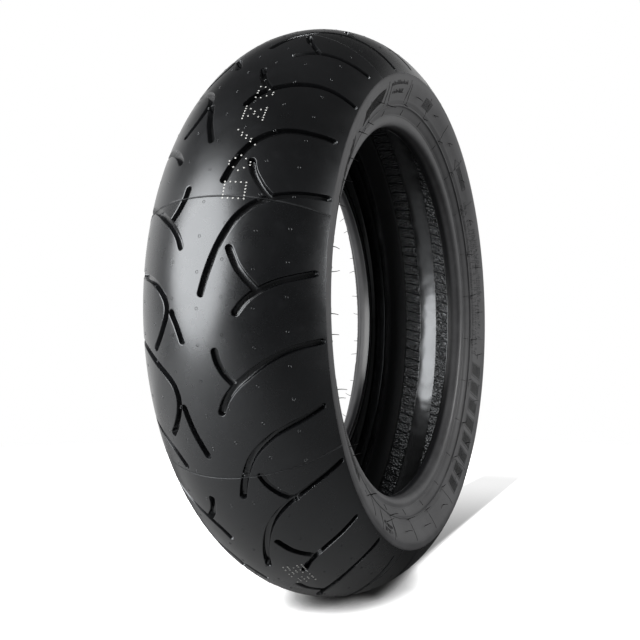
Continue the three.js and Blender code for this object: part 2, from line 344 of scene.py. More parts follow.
def groove_cutter(line, side, start, sizes):
    """A closed cutter along a centre line, with round ends, a round floor and a flared lip."""
    point_spacing, wall_lean, proud = 3.2 * MM, 0.25 * MM, 2 * MM
    middle = spline(np.array(line) * MM, point_spacing)
    middle = np.stack([middle[:, 0] * side, middle[:, 1] + start], axis=1)
    beside = normals_of(middle)
    half = sizes.groove_width / 2
    floor = 1.4 * MM
    lip = sizes.lip
    levels = [
        (half - floor, -sizes.groove_depth),
        (half - 0.3 * floor, -sizes.groove_depth + 0.3 * floor),
        (half, -sizes.groove_depth + floor),
        (half + wall_lean, -lip),
        (half + wall_lean + 0.3 * lip, -0.3 * lip),
        (half + wall_lean + lip, 0),
        (half + wall_lean + lip, proud),
    ]
    vertices = []
    for width, height in levels:
        loop = list(middle + beside * width)
        for end, normal in ((-1, beside[-1]), (0, -beside[0])):
            ahead = np.array([-normal[1], normal[0]])
            for k in range(1, END_STEPS):
                turn = math.pi * k / END_STEPS
                away = normal * math.cos(turn) + ahead * math.sin(turn)
                loop.append(middle[end] + away * width)
            if end == -1:
                loop.extend((middle - beside * width)[::-1])
        vertices.extend((x, y, height) for x, y in loop)
    count = len(vertices) // len(levels)
    last = range(len(vertices) - count, len(vertices))
    faces = [tuple(range(count)), tuple(last)[::-1]]
    for level in range(len(levels) - 1):
        for k in range(count):
            a, b = level * count + k, level * count + (k + 1) % count
            faces.append((a, a + count, b + count, b))
    cutter = solid("groove_cutter", vertices, faces)
    turn_outward(cutter)
    return cutter


def tread_tile(sizes):
    """One pitch of the tread laid flat: a slab with its grooves cut."""
    rows = round(PITCH / sizes.cell)
    rows += rows % 2
    columns = round(2 * TREAD_HALF / sizes.cell)
    deselect()
    bpy.ops.mesh.primitive_grid_add(x_subdivisions=columns, y_subdivisions=rows, size=1)
    tile = bpy.context.object
    tile.name = tile.data.name = "tread"
    places = points_of(tile)
    places[:, 0] *= 2 * TREAD_HALF
    places[:, 1] = (places[:, 1] + 0.5) * PITCH
    move_points(tile, places)
    edit(tile)
    bpy.ops.mesh.extrude_region_move(TRANSFORM_OT_translate={"value": (0, 0, -CAP_THICKNESS)})
    done()
    turn_outward(tile)
    margin = 5 * MM
    cutters = bpy.data.collections.new("cutters")
    bpy.context.scene.collection.children.link(cutters)
    for grooves, side, shift in ((LEFT_GROOVES, 1, 0), (RIGHT_GROOVES, -1, 0.5)):
        for line, turn in itertools.product(grooves, (-1, 0, 1)):
            start = PATTERN_START + (turn + shift) * PITCH
            along = [start + y * MM for _, y in line]
            if max(along) < -margin or min(along) > PITCH + margin:
                continue
            cutter = groove_cutter(line, side, start, sizes)
            bpy.context.scene.collection.objects.unlink(cutter)
            cutters.objects.link(cutter)
    apply_modifier(
        tile, "BOOLEAN", operation="DIFFERENCE", solver="EXACT", operand_type="COLLECTION",
        collection=cutters)
    for cutter in list(cutters.objects):
        bpy.data.objects.remove(cutter)
    bpy.data.collections.remove(cutters)
    return tile


def make_tread(sizes):
    """The tread: its pitch, without the two cut faces, repeated and bent round the tire."""
    tile = tread_tile(sizes)
    at_the_cut = 0.001 * MM
    edit(tile)
    bpy.ops.mesh.select_all(action="DESELECT")
    done()
    for face in tile.data.polygons:
        along = [tile.data.vertices[corner].co.y for corner in face.vertices]
        face.select = max(along) < at_the_cut or min(along) > PITCH - at_the_cut
    bpy.ops.object.mode_set(mode="EDIT")
    bpy.ops.mesh.delete(type="FACE")
    done()
    apply_modifier(
        tile, "ARRAY", count=PITCHES, use_relative_offset=False, use_constant_offset=True,
        constant_offset_displace=(0, PITCH, 0), use_merge_vertices=True, merge_threshold=SAME_POINT)
    wrap(tile)
    edit(tile)
    bpy.ops.mesh.remove_doubles(threshold=SAME_POINT)
    done()
    turn_outward(tile)
    smooth(tile)
    true_crown(tile)
    return tile


def true_crown(tread):
    """Gives the faces between the grooves the crown's own normals, so that their gloss runs smoothly."""
    mesh = tread.data
    x, y, z = points_of(tread).T
    rho = np.hypot(x, z)
    rise = rho - CROWN_CENTRE
    out = np.stack([x / rho * rise, y, z / rho * rise], axis=1)
    radius = np.linalg.norm(out, axis=1)
    on_crown = np.abs(radius - CROWN_RADIUS) < 0.02 * MM
    corners = np.empty(len(mesh.loops), dtype=int)
    mesh.loops.foreach_get("vertex_index", corners)
    normals = np.array([corner.vector for corner in mesh.corner_normals])
    starts = np.empty(len(mesh.polygons), dtype=int)
    mesh.polygons.foreach_get("loop_start", starts)
    whole = np.minimum.reduceat(on_crown[corners].astype(int), starts)
    sizes = np.diff(np.append(starts, len(corners)))
    crown = np.repeat(whole, sizes).astype(bool)
    normals[crown] = (out / radius[:, None])[corners[crown]]
    mesh.normals_split_custom_set(normals)


# Flat work: thin bars, rings and dots laid on a flat sheet and then bent onto the tire.
BAR_SINK = 0.3 * MM  # how deep a bar stands in the face below it


def bar_model(segments, top):
    """A bar one unit long, wide and high, standing on the sheet, with its top a share of its width."""
    deselect()
    bpy.ops.mesh.primitive_grid_add(x_subdivisions=segments, y_subdivisions=1, size=1)
    model = bpy.context.object
    edit(model)
    bpy.ops.mesh.extrude_region_move(TRANSFORM_OT_translate={"value": (0, 0, 1)})
    bpy.ops.transform.resize(value=(1, top, 1))
    done()
    turn_outward(model)
    return model


def copies(name, model, shapes):
    """One piece of many copies of a small model, each with its points moved by its own function."""
    shape = points_of(model)
    made = []
    for moved in shapes:
        copy = model.copy()
        copy.data = model.data.copy()
        bpy.context.scene.collection.objects.link(copy)
        move_points(copy, moved(shape))
        made.append(copy)
    bpy.data.objects.remove(model)
    return join(name, made)


def set_down(across, along):
    return lambda shape: shape + (across, along, 0)


def bars(name, lines, width, height, segments, top=0.6):
    """Bars along the legs of flat lines. Each leg is one bar of this many segments."""

    def laid(start, end):
        start, end = np.array(start, dtype=float), np.array(end, dtype=float)
        way = end - start
        length = np.linalg.norm(way)
        way /= length
        beside = np.array([-way[1], way[0]])

        def moved(shape):
            flat = (start + end) / 2 + np.outer(shape[:, 0] * (length + 0.5 * width), way)
            flat += np.outer(shape[:, 1] * width, beside)
            return np.column_stack([flat, shape[:, 2] * (height + BAR_SINK) - BAR_SINK])

        return moved

    legs = [laid(a, b) for line in lines for a, b in zip(line, line[1:])]
    return copies(name, bar_model(segments, top), legs)


def bend_to_side(piece, side, profile):
    """Bends a flat piece onto a sidewall. Across is the way out from the rim line, along its face."""
    out, along, height = points_of(piece).T
    travelled = travelled_along(profile)
    beside = normals_of(profile)
    y = np.interp(out, travelled, profile[:, 0]) + np.interp(out, travelled, beside[:, 0]) * height
    r = np.interp(out, travelled, profile[:, 1]) + np.interp(out, travelled, beside[:, 1]) * height
    turn = along / MARK_RADIUS
    move_points(piece, np.stack([r * np.cos(turn), side * y, r * np.sin(turn)], axis=1))
    turn_outward(piece)


MARK_RADIUS = 240 * MM  # at which lengths along the sidewall are measured
PROFILE_SPACING = 1.2 * MM
SIDE_PROFILE = spline(
    [
        (RIM_LINE[0] + 0.3 * MM, RIM_LINE[1] + 0.9 * MM),
        (84.5 * MM, 228.3 * MM),
        (87.5 * MM, 234.3 * MM),
        (91.1 * MM, 241.5 * MM),
        (93.2 * MM, 248.5 * MM),
        TREAD_EDGE,
    ],
    PROFILE_SPACING,
)
BEAD_PROFILE = spline(
    [(74.9 * MM, 214.6 * MM), (77.3 * MM, 217.4 * MM), (80 * MM, 221.5 * MM)], PROFILE_SPACING)


class SideSizes(bpy.types.PropertyGroup):
    """Sizes of the moulded sidewalls and beads"""

    ridge: size(
        "Rim line", "How far the rim line stands out of the sidewall", default=0.8, low=0.2, high=3)
    emboss: size("Emboss", "Height of the raised marks", default=0.35, low=0.1, high=1.5)
    hair_length: size(
        "Hair length", "Mean length of the rubber hairs left by the vents", default=8, low=1, high=20)
    hair_width: size("Hair width", "Diameter of a hair at its root", default=0.9, low=0.3, high=2)


def mirrored_ring(name, outline, side):
    return lathed(name, [(side * y, r) for y, r in outline])


def make_sidewall(side, name):
    """The sidewall, with a low round rib at the tread edge and a lower one near the rim line."""
    beside = normals_of(SIDE_PROFILE)
    travelled = travelled_along(SIDE_PROFILE)
    edge = travelled[-1]
    relief = np.zeros(len(SIDE_PROFILE))
    for at, width, height in ((edge - 1.6 * MM, 1.6 * MM, 0.45 * MM), (4.6 * MM, 1.2 * MM, 0.25 * MM)):
        relief += height * np.exp(-(((travelled - at) / width) ** 2) * 2)
    relief[0] = relief[-1] = 0
    face = SIDE_PROFILE + beside * relief[:, None]
    thickest, thinner = 4.2 * MM, 2.4 * MM
    thick = thickest - thinner * np.sin(travelled / edge * math.pi) ** 2
    back = (SIDE_PROFILE - beside * thick[:, None])[::-2]
    return mirrored_ring(name, [*face, *back], side)


def make_rim_strip(side, name, sizes):
    """The rim strip: from the rim line over the flange face, the heel and the toe, to the chafer."""
    ridge = sizes.ridge
    y, r = RIM_LINE
    inboard, outboard, under = CHAFER_FACE
    corners = [
        (y + 0.3 * MM, r + 0.9 * MM, 0),
        (y + 0.75 * ridge, r + 0.55 * MM, 0.5 * MM),
        (y + 0.65 * ridge, r - 0.6 * MM, 0.5 * MM),
        (y - 1.4 * MM, r - 1.5 * MM, 1 * MM),
        (77.2 * MM, 217.2 * MM, 3 * MM),
        (FLANGE_TOP[0] + 0.6 * MM, FLANGE_TOP[1] + 0.8 * MM, 0.5 * MM),
        (FLANGE_TOP[0] + 0.6 * MM, FLANGE_TOP[1], 0.3 * MM),
        (FLANGE_TOP[0], FLANGE_TOP[1] - 0.3 * MM, 0.3 * MM),
        (*FLANGE_BOTTOM, 3 * MM),
        (*HEEL, 3 * MM),
        (*TOE, 0.8 * MM),
        (*TOE_TOP, 0.8 * MM),
        (inboard, 211.5 * MM, 0),
        (inboard, under, 0),
        (outboard, under, 0),
        (outboard, 213.4 * MM, 0),
        (74.4 * MM, 217.6 * MM, 0),
        (y - 3 * MM, r - 0.4 * MM, 0),
    ]
    return mirrored_ring(name, rounded(corners), side)


def make_chafer(side, name):
    """The strip that wraps the bead inside the rim strip, a U in section."""
    inboard, outboard, under = CHAFER_FACE
    thick = 1.3 * MM
    corners = [
        (inboard, 216.2 * MM, 0.4 * MM),
        (inboard, under, 0.5 * MM),
        (outboard, under, 0.5 * MM),
        (outboard, 213.4 * MM, 0.5 * MM),
        (74.4 * MM, 217.6 * MM, 0),
        (73.3 * MM, 218.4 * MM, 0),
        (outboard - thick, 213.8 * MM, 0.5 * MM),
        (outboard - thick, under + thick, 0.5 * MM),
        (inboard + thick, under + thick, 0.5 * MM),
        (inboard + thick, 216.2 * MM, 0.4 * MM),
    ]
    return mirrored_ring(name, rounded(corners, 3), side)


def make_toe_flash(side, name):
    """The thin lip of rubber that the mould squeezes out along the toe of the bead."""
    deselect()
    outboard, out = TOE[0] + 0.6 * MM, TOE[1] + 0.9 * MM
    bpy.ops.mesh.primitive_torus_add(
        major_radius=out, minor_radius=1.1 * MM, major_segments=180, minor_segments=20,
        location=(0, side * outboard, 0), rotation=(math.pi / 2, 0, 0))
    piece = bpy.context.object
    piece.name = piece.data.name = name
    bpy.ops.object.transform_apply(location=True, rotation=True, scale=True)
    smooth(piece)
    return piece


LINER_RADIUS = 88.4 * MM
LINER_THICKNESS = 1.2 * MM
LINER_ARC = 44  # degrees of crown arc on each side


def make_liner():
    """The lining, from bead to bead: the crown arc, the two flanks, and its back."""
    face = [(58.4, 215.8, 2), (82.4, 238.0, 6), (84.5, 246.6, 7), (67.6, 263.6, 9)]
    back = [(59.6, 215.3, 2), (83.7, 237.2, 6), (86.0, 247.1, 7), (69.2, 264.8, 9)]

    def half(corners, radius, side):
        path = rounded([(side * y * MM, r * MM, bend * MM) for y, r, bend in corners], 7)
        arc = [
            (radius * math.sin(a), CROWN_CENTRE + radius * math.cos(a))
            for a in np.radians(np.linspace(side * LINER_ARC, 0, 24))
        ]
        return path + arc[:-1]

    middle = (0, CROWN_CENTRE + LINER_RADIUS)
    inside = half(face, LINER_RADIUS, 1) + [middle] + half(face, LINER_RADIUS, -1)[::-1]
    back_radius = LINER_RADIUS + LINER_THICKNESS
    outside = half(back, back_radius, 1) + half(back, back_radius, -1)[::-1]
    return lathed("inner_lining", inside + outside[::-1])


RIBS = 132  # in each band, round the inside


def make_liner_ribs():
    """Two bands of low slanted ribs round the inside of the crown, pressed by the curing bladder."""
    step = ROUND_TIRE / RIBS
    lines = [
        [(middle - 9 * MM, i * step + slant), (middle + 9 * MM, i * step - slant)]
        for middle, slant in ((-23 * MM, -2.6 * MM), (20 * MM, -3 * MM))
        for i in range(RIBS)
    ]
    piece = bars("inner_ribs", lines, 2.3 * MM, 1.2 * MM, 4, top=0.15)
    across, along, height = points_of(piece).T
    move_points(piece, on_arc(across / LINER_RADIUS, along / TIRE_RADIUS, LINER_RADIUS - height))
    turn_outward(piece)
    return piece


# The rows of vent rings: how far across the tread each is, and how far its rings are apart, in mm.
VENT_RING_ROWS = {2: 30, 24: 31, -24: 31, 50: 33, -50: 33, 78: 31, -78: 31}


def make_vent_rings(sizes):
    """Small raised rings in rows round the tread."""
    deselect()
    bpy.ops.mesh.primitive_torus_add(
        major_radius=sizes.vent_ring, minor_radius=0.18 * MM, major_segments=10, minor_segments=4)
    places = []
    for across, apart in VENT_RING_ROWS.items():
        count = round(ROUND_TIRE / (apart * MM))
        shift = 0.35 * (across % 3)
        places += [set_down(across * MM, (i + shift) * ROUND_TIRE / count) for i in range(count)]
    piece = copies("vent_rings", bpy.context.object, places)
    wrap(piece)
    smooth(piece)
    return piece


# The mould's segments, round the tread.
SEGMENTS = 8
SEGMENT = ROUND_TIRE / SEGMENTS
SEGMENT_START = 86 * MM


def make_mould_lines():
    """The thin lines across the tread where the mould's segments meet."""
    lines = [
        [(across * MM, SEGMENT_START + i * SEGMENT) for across in range(-110, 111, 10)]
        for i in range(SEGMENTS)
    ]
    piece = bars("mould_lines", lines, 0.45 * MM, 0.14 * MM, 4)
    wrap(piece)
    return piece


# The paint marks: plain shapes of dots, as rows of a small grid.
DOT_SHAPES = [
    ["######", "#....#", "#....#", "#....#", "######"],
    ["..##..", ".#..#.", "#....#", ".#..#.", "..##.."],
    ["#.....", ".##...", "..##..", "...##.", ".....#"],
    ["######", ".#..#.", "..##..", ".#..#.", "######"],
    ["..##..", ".#..#.", "#....#", "#.##.#", "......"],
    ["#.####", "#.#.##", ".##.#.", "##.###", "#..#.#"],
    ["#.##.#", "..##..", "#.#.#.", ".###..", "#....#"],
]
DOT_STARTS = (84, 110, 137, 165, 192, -297, -318)  # mm along the tread
DOT_TOP, DOT_ROW, DOT_STEP = 37, 4.6, 3  # mm: the first row across, between rows, between dots


def make_paint_dots():
    deselect()
    bpy.ops.mesh.primitive_cylinder_add(vertices=8, radius=0.75 * MM, depth=0.2 * MM)
    places = []
    for start, rows in zip(DOT_STARTS, DOT_SHAPES):
        for down, row in enumerate(rows):
            for along, mark in enumerate(row):
                if mark == "#":
                    across = DOT_TOP - DOT_ROW * down
                    places.append(set_down(across * MM, (start + DOT_STEP * along) * MM))
    piece = copies("paint_dots", bpy.context.object, places)
    wrap(piece)
    return piece


# Rows of vents in each sidewall: the way out from the rim line, and the angle of the first.
VENTS = 24
VENT_ROWS = ((0.9 * MM, 7.0), (13.7 * MM, 12.0))


def along_side(degrees):
    return math.radians(degrees) * MARK_RADIUS


def vent_angles(first):
    return [first + i * 360 / VENTS for i in range(VENTS)]


def make_hairs(side, name, sizes):
    """Thin rubber hairs that stand out of a sidewall where the mould's vents were."""
    deselect()
    bpy.ops.mesh.primitive_cone_add(
        vertices=6, radius1=sizes.hair_width / 2, radius2=0.6 * sizes.hair_width / 2, depth=1)
    model = bpy.context.object
    for height in (-0.25, 0, 0.25):
        edit(model)
        bpy.ops.mesh.bisect(plane_co=(0, 0, height), plane_no=(0, 0, 1))
        done()
    rng = np.random.default_rng(7 if side > 0 else 11)
    root_depth = 0.4 * MM

    def grown(out, degrees, length, lean, twist):
        def moved(shape):
            share = shape[:, 2] + 0.5
            return np.column_stack([
                shape[:, 0] + out + lean * share**2 * length,
                shape[:, 1] + along_side(degrees) + twist * share**2 * length,
                share * length - root_depth,
            ])

        return moved

    hairs = []
    for out, first in VENT_ROWS:
        for angle in vent_angles(first):
            length = sizes.hair_length * rng.uniform(0.75, 1.15)
            lean, twist = rng.uniform(-0.3, 0.3, 2)
            hairs.append(grown(out, angle + rng.uniform(-1, 1), length, lean, twist))
    piece = copies(name, model, hairs)
    bend_to_side(piece, side, SIDE_PROFILE)
    smooth(piece)
    return piece


def hatch(first, last, apart, low, high, slant=0.0):
    """Slanted strokes from one angle to another, between two distances out from the rim line."""
    return [
        [(low * MM, along_side(a - slant)), (high * MM, along_side(a + slant))]
        for a in np.arange(first, last, apart)
    ]


def block(first, last, low, high, slant):
    """The outline of a slanted block."""
    corners = [(low, first - slant), (high, first + slant), (high, last + slant), (low, last - slant)]
    corners.append(corners[0])
    return [[(out * MM, along_side(a)) for out, a in corners]]


# The angles between which each block of the marks lies: a row of eight, and a row of four.
BLOCKS = [(195 + 6.15 * k, 199.5 + 6.15 * k) for k in range(8)]
BLOCKS += [(15 + 6.2 * k, 19.6 + 6.2 * k) for k in range(4)]


def make_side_marks(side, name, sizes):
    """The raised rims of the blocks and of the arrow that shows the turning way."""
    lines = []
    for first, last in BLOCKS:
        lines += block(first, last, 4.6, 20.4, 0.5)
    tip, neck, tail = 124, 127, 136
    arrow = [(14, tip), (20, neck), (17, neck), (17, tail), (11, tail), (11, neck), (8, neck), (14, tip)]
    lines.append([(out * MM, along_side(a)) for out, a in arrow])
    piece = bars(name, lines, 0.8 * MM, sizes.emboss, 6)
    bend_to_side(piece, side, SIDE_PROFILE)
    return piece


def make_side_hatching(side, name, sizes):
    """The dark hatched fields of the marks, the fine lines at the vents, and rows of small ticks."""
    rng = np.random.default_rng(3)
    lines = []
    for first, last in BLOCKS:
        lines += hatch(first + 0.6, last - 0.3, 0.4, 5.4, 19.6, 0.5)
    lines += hatch(127.6, 135.6, 0.4, 11.8, 16.2)
    lines += hatch(93, 98, 0.62, 9, 20, 0.4)
    lines += hatch(47, 62, 0.5, 9, 22, 0.8)
    lines += hatch(318, 342, 0.5, 8, 22, 0.8)
    for first, last in ((64, 80), (292, 300.5)):
        lines += [[(3 * MM, along_side(a - 0.6)), (27 * MM, along_side(a + 0.6))] for a in (first, last)]
    for low, first, last in (
            (2, 140, 192), (7.5, 140, 192), (13, 148, 186), (17, 150, 175),
            (22, 67, 78), (13, 67, 76), (21, 293.5, 299.5), (15, 293.5, 299.5)):
        for a in np.arange(first, last, 0.6):
            if rng.random() < 0.78:
                high = low + rng.choice([2.2, 3.8])
                slanted = a + rng.uniform(-0.25, 0.25)
                lines.append([(low * MM, along_side(a)), (high * MM, along_side(slanted))])
    fields = bars(name, lines, 0.95 * MM, sizes.emboss, 4)
    (inner, first), (outer, second) = VENT_ROWS
    lines = []
    for a in vent_angles(first):
        aside = along_side(a - 0.5)
        lines.append([(inner, along_side(a)), (inner + 12 * MM, aside), (24 * MM, aside)])
        lines.append([(inner, along_side(a)), (inner, along_side(a + 1.6))])
    for a in vent_angles(second):
        lines.append([(outer, along_side(a)), (outer, along_side(a + 1.3))])
    thin = bars(name + "_lines", lines, 0.7 * MM, 0.8 * sizes.emboss, 6)
    for piece in (fields, thin):
        bend_to_side(piece, side, SIDE_PROFILE)
    lines = [[(0.5 * MM, along_side(a)), (6.5 * MM, along_side(a))] for a in vent_angles(first)]
    ticks = bars(name + "_ticks", lines, 0.9 * MM, sizes.emboss, 2)
    bend_to_side(ticks, side, BEAD_PROFILE)
    return join(name, [fields, thin, ticks])


# Materials.
class Value:
    """A shader value: Python's operators on it add Math nodes."""

    def __init__(self, graph, socket):
        self.graph, self.socket = graph, socket

    def math(self, operation, *others):
        return self.graph.node("ShaderNodeMath", {"operation": operation}, self, *others)

    def __add__(self, other):
        return self.math("ADD", other)

    def __sub__(self, other):
        return self.math("SUBTRACT", other)

    def __mul__(self, other):
        return self.math("MULTIPLY", other)

    def __truediv__(self, other):
        return self.math("DIVIDE", other)

    def __rsub__(self, other):
        return self.graph.node("ShaderNodeMath", {"operation": "SUBTRACT"}, other, self)

    __radd__ = __add__
    __rmul__ = __mul__

    def clamp(self):
        return self.graph.node("ShaderNodeClamp", {}, self)

    def step(self, low, high):
        """0 below low, 1 above high, and smooth between."""
        return self.graph.node(
            "ShaderNodeMapRange", {"interpolation_type": "SMOOTHSTEP"}, self, low, high, 0.0, 1.0)


class Graph:
    """The nodes of one material or world, with the place that its textures follow."""

    def __init__(self, tree, coordinates="Object"):
        self.tree = tree
        tree.nodes.clear()
        self.place = self.node("ShaderNodeTexCoord", {}, output=coordinates)

    def node(self, kind, settings, *values, output=0, **named):
        made = self.tree.nodes.new(kind)
        for setting, value in settings.items():
            setattr(made, setting, value)
        for key, value in [*enumerate(values), *((k.replace("_", " "), v) for k, v in named.items())]:
            if isinstance(value, Value):
                self.tree.links.new(value.socket, made.inputs[key])
            elif value is not None:
                made.inputs[key].default_value = value
        return Value(self, made.outputs[output])

    def axis(self, name):
        return self.node("ShaderNodeSeparateXYZ", {}, self.place, output=name)

    def noise(self, scale, detail, roughness):
        values = {"Vector": self.place, "Scale": scale, "Detail": detail, "Roughness": roughness}
        return self.node("ShaderNodeTexNoise", {}, **values)

    def cells(self, scale):
        return self.node("ShaderNodeTexVoronoi", {}, Vector=self.place, Scale=scale)

    def blend(self, share, first, second):
        made = self.tree.nodes.new("ShaderNodeMix")
        made.data_type = "RGBA"
        for key, value in ((0, share), (6, first), (7, second)):
            if isinstance(value, Value):
                self.tree.links.new(value.socket, made.inputs[key])
            else:
                made.inputs[key].default_value = value
        return Value(self, made.outputs[2])

    def shades(self, share, rgb, low, high):
        """A colour made darker or lighter, from low times to high times itself."""
        return self.blend(share, colour(c * low for c in rgb), colour(c * high for c in rgb))

    def bump(self, height, distance, strength=1.0, normal=None):
        return self.node(
            "ShaderNodeBump", {}, Height=height, Distance=distance, Strength=strength, Normal=normal)

    def rays(self):
        """Whether a ray is seen by the camera, mirrored, or let through."""
        kinds = ("Is Camera Ray", "Is Glossy Ray", "Is Transmission Ray")
        return [self.node("ShaderNodeLightPath", {}, output=kind) for kind in kinds]

    def behind(self, x, y, reach):
        """1 beyond the tire, the way that the camera looks, and 0 on the camera's side."""
        return (x * VIEW_WAY[0] + y * VIEW_WAY[1]).step(0.0, reach)

    def surface(self, shader, kind="ShaderNodeOutputMaterial"):
        out = self.tree.nodes.new(kind)
        self.tree.links.new(shader.socket, out.inputs["Surface"])

    def principled(self, **named):
        self.surface(self.node("ShaderNodeBsdfPrincipled", {}, **named))


VIEW_WAY = (-0.9, -0.43)
COOL_SHINE = (0.94, 0.97, 1, 1)


def colour(rgb):
    return (*rgb, 1.0)


def new_material(name):
    material = bpy.data.materials.new(name)
    material.use_nodes = True
    return material, Graph(material.node_tree)


def tread_rubber(graph, rgb):
    """Fresh tread rubber: dark and shiny, each of the mould's segments a little different."""
    x, z = graph.axis("X"), graph.axis("Z")
    along = z.math("ARCTAN2", x) * TIRE_RADIUS
    segments = (along - SEGMENT_START) / SEGMENT
    chance = graph.node("ShaderNodeTexWhiteNoise", {"noise_dimensions": "1D"}, W=segments.math("FLOOR"))
    cloud = graph.noise(11, 4, 0.55)
    streak = graph.noise(70, 3, 0.6)
    fine = graph.noise(1600, 2, 0.6)
    shade = graph.shades(cloud.step(0.35, 0.65), rgb, 0.8, 1.25)
    shade = graph.blend(streak.step(0.55, 0.8) * 0.08, shade, (0.03, 0.03, 0.034, 1))
    from_parting = ((segments + 0.5).math("FRACT") - 0.5).math("ABSOLUTE")
    parting = 1 - from_parting.step(0.35 * MM / SEGMENT, 1.0 * MM / SEGMENT)
    gloss = 0.25 + chance * 0.1 + (cloud - 0.5) * 0.12 + (streak - 0.5) * 0.1 + parting * 0.4
    bump = graph.bump(fine, 0.06 * MM, 0.3)
    bump = graph.bump(parting, -0.4 * MM, 0.8, bump)
    graph.principled(
        Base_Color=shade, Roughness=gloss.clamp(), Specular_IOR_Level=0.85, Normal=bump,
        Specular_Tint=COOL_SHINE)


def sidewall_rubber(graph, rgb):
    """Sidewall rubber: matt, with pale bloom and turned lines, and shinier at the bead's base, which is
    painted darker as painted shade.
    """
    x, z = graph.axis("X"), graph.axis("Z")
    out = (x * x + z * z).math("SQRT")
    cloud = graph.noise(14, 4, 0.6)
    streak = graph.noise(90, 3, 0.6)
    fine = graph.noise(1400, 2, 0.6)
    turned = (out * 9000).math("SINE") * 0.5 + 0.5
    bloom = (cloud * 0.6 + streak * 0.4).step(0.4, 0.68) * 0.35
    shade = graph.shades(cloud.step(0.3, 0.7), rgb, 0.88, 1.12)
    shade = graph.blend(bloom, shade, (0.085, 0.085, 0.088, 1))
    gloss = 0.56 + (cloud - 0.5) * 0.12 + (streak - 0.5) * 0.14
    bump = graph.bump(fine, 0.12 * MM, 0.35)
    bump = graph.bump(turned, 0.03 * MM, 0.5, bump)
    # The bead's base is painted darker, as painted shade, and given a shinier coat.
    inboard = 1 - graph.axis("Y").math("ABSOLUTE").step(61 * MM, 66 * MM)
    base = (1 - out.step(SEAT_RADIUS + 2.2 * MM, SEAT_RADIUS + 3.4 * MM)) * inboard
    shade = graph.blend(base, shade, (0.006, 0.006, 0.0068, 1))
    on_rim = 1 - out.step(216 * MM, 220 * MM)
    graph.principled(
        Base_Color=shade, Roughness=(gloss - base * 0.22).clamp(), Specular_IOR_Level=0.2, Normal=bump,
        Coat_Weight=base * 0.4 + on_rim * 0.12, Coat_Roughness=0.25)


def inner_rubber(graph, rgb):
    """Plain matt rubber with a coarse grain, of the inner layers, and of the sidewall's marks and hairs,
    where its darkness is painted shade.
    """
    cloud = graph.noise(30, 4, 0.6)
    grain = graph.noise(900, 3, 0.6)
    shade = graph.shades(cloud.step(0.35, 0.65), rgb, 0.85, 1.15)
    bump = graph.bump(grain, 0.2 * MM, 0.5)
    graph.principled(Base_Color=shade, Roughness=0.7 + cloud * 0.15, Normal=bump)


def liner_rubber(graph, rgb):
    """The glossy lining, with a pebbled band on either side of its smooth middle."""
    y = graph.axis("Y")
    left = y.step(10 * MM, 12 * MM) * (1 - y.step(29 * MM, 31 * MM))
    right = (0 - y).step(13 * MM, 15 * MM) * (1 - (0 - y).step(32 * MM, 34 * MM))
    band = left + right
    pebble = graph.cells(460)
    waves = graph.noise(24, 2, 0.5)
    fine = graph.noise(500, 3, 0.6)
    # Pale specks painted on the pebbles of the bands, as painted glints: full on the +Y band, weaker on the
    # -Y one.
    painted_glint = (1 - pebble.step(0.2, 0.42)) * (left + right * 0.3) * fine.step(0.46, 0.56)
    shade = graph.shades(waves.step(0.4, 0.7), rgb, 1, 1.6)
    shade = graph.blend(painted_glint, shade, (0.07, 0.07, 0.073, 1))
    from_middle = y.math("ABSOLUTE")
    toe = from_middle.step(52 * MM, 56 * MM)
    flank = from_middle.step(33 * MM, 37 * MM) - toe
    gloss = 0.21 + band * 0.02 + flank * 0.5 - toe * 0.08 + (waves - 0.5) * 0.1 + fine * 0.03
    bump = graph.bump(pebble * band, -1.1 * MM, 1.0)
    bump = graph.bump(waves, 4 * MM, 0.4, bump)
    graph.principled(
        Base_Color=shade, Roughness=gloss.clamp(), Specular_IOR_Level=0.9, Normal=bump,
        Specular_Tint=COOL_SHINE)


def cord(graph, rgb):
    """Rubbered cord: close ridges at a slant."""
    x, y, z = (graph.axis(name) for name in "XYZ")
    cords_round, slant = 780, 900
    wave = (z.math("ARCTAN2", x) * cords_round + y * slant).math("SINE") * 0.5 + 0.5
    worn = graph.noise(120, 3, 0.6)
    shade = graph.blend(wave * 0.8 + worn * 0.2, (0.03, 0.028, 0.026, 1), colour(rgb))
    bump = graph.bump(wave, 0.4 * MM, 0.8)
    graph.principled(Base_Color=shade, Roughness=0.7 + worn * 0.2, Normal=bump)


def wire(graph, rgb):
    """Bronze-coated bead wire, wound side by side."""
    wave = (graph.axis("Y") * 6000).math("SINE") * 0.5 + 0.5
    worn = graph.noise(200, 3, 0.6)
    shade = graph.blend(worn, colour(rgb), (0.3, 0.22, 0.14, 1))
    bump = graph.bump(wave, 0.4 * MM, 0.8)
    graph.principled(Base_Color=shade, Metallic=1.0, Roughness=0.3 + worn * 0.2, Normal=bump)


def paint(graph, rgb):
    """Rolled-on marking paint, thin at the edges of each dot."""
    worn = graph.noise(900, 3, 0.7)
    shade = graph.shades(worn.step(0.35, 0.75), rgb, 1, 0.55)
    bump = graph.bump(worn, 0.1 * MM, 0.5)
    graph.principled(Base_Color=shade, Roughness=0.55 + worn * 0.2, Normal=bump)


class Finishes(bpy.types.PropertyGroup):
    """Colours of the rubber, the cords and the paint"""

    tread: finish("Tread", "Tread rubber", default=(0.0032, 0.0034, 0.0039))
    side: finish("Sidewall", "Sidewall and bead rubber", default=(0.048, 0.048, 0.05))
    liner: finish("Lining", "Airtight lining", default=(0.002, 0.002, 0.0021))
    plain: finish("Plain rubber", "Rubber of the layers and dark marks", default=(0.009, 0.009, 0.0095))
    cord: finish("Cord", "Rubbered cord", default=(0.25, 0.16, 0.08))
    wire: finish("Bead wire", "Coated steel wire", default=(0.45, 0.3, 0.15))
    paint: finish("Paint", "Marking paint", default=(0.55, 0.55, 0.53))


